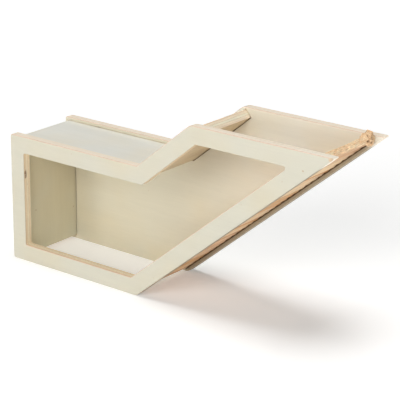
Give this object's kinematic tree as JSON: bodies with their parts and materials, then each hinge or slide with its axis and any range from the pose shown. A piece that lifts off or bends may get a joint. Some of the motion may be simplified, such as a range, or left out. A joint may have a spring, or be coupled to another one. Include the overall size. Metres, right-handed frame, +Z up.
{
  "type": "small pet burrow entrance house",
  "caption": "Open-bottomed wooden burrow house for small pets: windowed front panel, boxy chamber, and an inclined shaft with a ramp of round sticks that opens at the top.",
  "frame": {"origin": "middle of the footprint box, on the surface the house stands on", "axes": "+X along the house towards the raised tip; -Y towards the windowed front panel; +Z up"},
  "size_m": [0.4165, 0.098, 0.2],
  "materials": {
    "painted_ply": "satin",
    "painted_ply_back": "satin",
    "painted_board": "satin",
    "painted_roof": "satin",
    "bare_board": "matte",
    "stick_wood": "matte",
    "rough_stick": "rough"
  },
  "bodies": {
    "root": {"front_panel": "painted_ply", "back_panel": "painted_ply_back", "end_wall": "painted_board", "roof_board": "painted_roof", "shaft_board": "bare_board", "ramp_sticks": "stick_wood", "ramp_top_stick": "rough_stick"}
  },
  "joints": []
}
